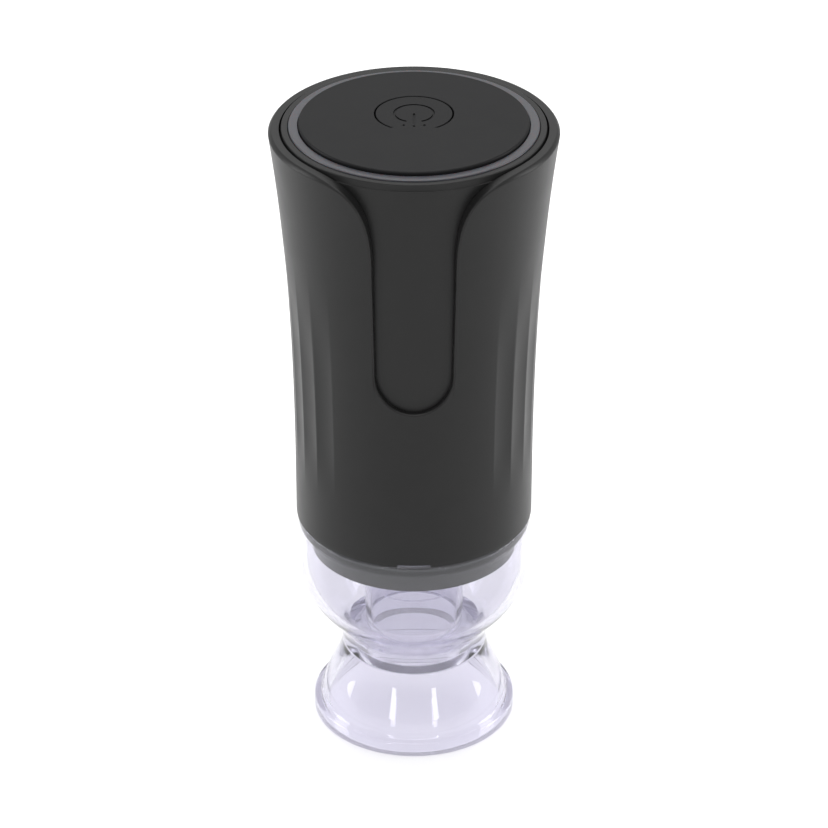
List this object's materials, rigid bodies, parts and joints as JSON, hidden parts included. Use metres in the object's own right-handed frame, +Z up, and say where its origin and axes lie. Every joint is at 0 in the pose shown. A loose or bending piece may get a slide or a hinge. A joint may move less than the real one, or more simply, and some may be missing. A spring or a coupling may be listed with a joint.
{
  "type": "electric wine opener",
  "caption": "Cordless electric wine opener: flared black motor body with a lit top ring and press button, on a clear pull-off bottle collar; a motor-driven worm feeds down to draw the cork.",
  "frame": {"origin": "centre of the foot's underside, on the table", "axes": "+Z up along the opener's axis to the lid; the body's window and the collar's finger tab face -Y; +X to the right seen from the front"},
  "size_m": [0.0794, 0.0764, 0.19],
  "materials": {
    "shell_abs": "fine matte, moulded",
    "sleeve_abs": "satin, moulded",
    "spigot_abs": "smooth satin, moulded",
    "lid_abs": "fine matte, moulded",
    "diffuser_acrylic": "milky, moulded",
    "clear_polycarbonate": "clear, polished, faint violet tint",
    "board_laminate": "solder-masked",
    "component_epoxy": "matte",
    "led_epoxy": "milky",
    "cell_wrap": "heat-shrunk film",
    "nickel_strip": "rolled",
    "frame_nylon": "glass-filled, moulded",
    "acetal": "smooth, moulded",
    "sintered_bronze": "sintered",
    "gear_brass": "hobbed",
    "die_cast": "as cast",
    "carrier_steel": "sintered",
    "motor_steel": "zinc plated",
    "magnet_ferrite": "sintered",
    "motor_cap_nylon": "moulded",
    "lamination_steel": "stacked sheet",
    "enamelled_copper": "wound wire",
    "socket_steel": "nickel plated",
    "lead_red": "insulated wire",
    "lead_black": "insulated wire",
    "screw_steel": "zinc plated",
    "tube_steel": "drawn",
    "carriage_nylon": "moulded",
    "worm_chrome": "polished, chrome plated"
  },
  "bodies": {
    "housing": {"outer_shell": "shell_abs", "inner_sleeve": "sleeve_abs", "base_collar": "spigot_abs", "light_ring": "diffuser_acrylic", "top_cap": "lid_abs", "control_board": "board_laminate", "board_components": "component_epoxy", "tact_switch": "component_epoxy", "ring_leds": "led_epoxy", "indicator_leds": "led_epoxy", "battery_left": "cell_wrap", "battery_right": "cell_wrap", "cell_straps": "nickel_strip", "battery_tray": "frame_nylon", "spine_frame": "frame_nylon", "thread_sleeve": "acetal", "output_bush": "sintered_bronze", "gear_housing": "die_cast", "gearbox_cover": "die_cast", "motor_can": "motor_steel", "motor_bearings": "sintered_bronze", "motor_magnets": "magnet_ferrite", "motor_endcap": "motor_cap_nylon", "motor_terminals": "gear_brass", "top_bracket": "frame_nylon", "usb_port": "socket_steel", "charge_board": "board_laminate", "battery_leads": "lead_red", "charge_leads": "lead_black", "base_screws": "screw_steel", "board_screws": "screw_steel", "flange_screws": "screw_steel", "gearbox_screws": "screw_steel", "motor_screws": "screw_steel", "charge_screws": "screw_steel"},
    "collar": {"bottle_collar": "clear_polycarbonate"},
    "button": {"power_button": "lid_abs"},
    "plunger": {"switch_plunger": "acetal"},
    "rotor": {"motor_shaft": "tube_steel", "sun_pinion": "gear_brass", "armature_core": "lamination_steel", "armature_windings": "enamelled_copper", "commutator": "enamelled_copper"},
    "carrier_1": {"first_carrier": "carrier_steel"},
    "first_planet_a": {"first_planet_1": "acetal"},
    "first_planet_b": {"first_planet_2": "acetal"},
    "first_planet_c": {"first_planet_3": "acetal"},
    "drive": {"output_carrier": "carrier_steel", "drive_tube": "tube_steel"},
    "second_planet_a": {"second_planet_1": "carrier_steel"},
    "second_planet_b": {"second_planet_2": "carrier_steel"},
    "second_planet_c": {"second_planet_3": "carrier_steel"},
    "carriage": {"worm_carriage": "carriage_nylon", "corkscrew_worm": "worm_chrome"}
  },
  "joints": [
    {"name": "motor_spin", "type": "hinge", "parent": "housing", "child": "rotor", "pos_m": [0, 0, 0.16], "axis": [0, 0, -1], "range_deg": [0, 77760]},
    {"name": "carrier_1_spin", "type": "hinge", "parent": "housing", "child": "carrier_1", "pos_m": [0, 0, 0.142], "axis": [0, 0, -1], "continuous": true},
    {"name": "output_spin", "type": "hinge", "parent": "housing", "child": "drive", "pos_m": [0, 0, 0.136], "axis": [0, 0, -1], "range_deg": [0, 2160]},
    {"name": "worm_feed", "type": "slide", "parent": "drive", "child": "carriage", "axis": [0, 0, -1], "range_m": [0, 0.057]},
    {"name": "first_planet_a_spin", "type": "hinge", "parent": "carrier_1", "child": "first_planet_a", "pos_m": [0.00675, 0, 0.1447], "axis": [0, 0, -1], "continuous": true},
    {"name": "first_planet_b_spin", "type": "hinge", "parent": "carrier_1", "child": "first_planet_b", "pos_m": [-0.00337, 0.00585, 0.1447], "axis": [0, 0, -1], "continuous": true},
    {"name": "first_planet_c_spin", "type": "hinge", "parent": "carrier_1", "child": "first_planet_c", "pos_m": [-0.00337, -0.00585, 0.1447], "axis": [0, 0, -1], "continuous": true},
    {"name": "second_planet_a_spin", "type": "hinge", "parent": "drive", "child": "second_planet_a", "pos_m": [0.00675, 0, 0.1388], "axis": [0, 0, -1], "continuous": true},
    {"name": "second_planet_b_spin", "type": "hinge", "parent": "drive", "child": "second_planet_b", "pos_m": [-0.00337, 0.00585, 0.1388], "axis": [0, 0, -1], "continuous": true},
    {"name": "second_planet_c_spin", "type": "hinge", "parent": "drive", "child": "second_planet_c", "pos_m": [-0.00337, -0.00585, 0.1388], "axis": [0, 0, -1], "continuous": true},
    {"name": "button_press", "type": "hinge", "parent": "housing", "child": "button", "pos_m": [0, -0.0044, 0.1886], "axis": [-1, 0, 0], "range_deg": [0, 1.6], "stiffness_Nm_per_rad": 0.8},
    {"name": "switch_travel", "type": "slide", "parent": "housing", "child": "plunger", "axis": [0, 0, -1], "range_m": [0, 0.00026]},
    {"name": "collar_pull", "type": "slide", "parent": "housing", "child": "collar", "axis": [0, 0, -1], "range_m": [0, 0.03]}
  ],
  "couplings": [
    {"joint": "carrier_1_spin", "follows": "motor_spin", "ratio": 0.16667},
    {"joint": "output_spin", "follows": "motor_spin", "ratio": 0.027778},
    {"joint": "worm_feed", "follows": "motor_spin", "m_per_rad": 0.000041999},
    {"joint": "first_planet_a_spin", "follows": "motor_spin", "ratio": -0.41667},
    {"joint": "first_planet_b_spin", "follows": "motor_spin", "ratio": -0.41667},
    {"joint": "first_planet_c_spin", "follows": "motor_spin", "ratio": -0.41667},
    {"joint": "second_planet_a_spin", "follows": "motor_spin", "ratio": -0.069444},
    {"joint": "second_planet_b_spin", "follows": "motor_spin", "ratio": -0.069444},
    {"joint": "second_planet_c_spin", "follows": "motor_spin", "ratio": -0.069444},
    {"joint": "switch_travel", "follows": "button_press", "m_per_rad": 0.0089525}
  ]
}
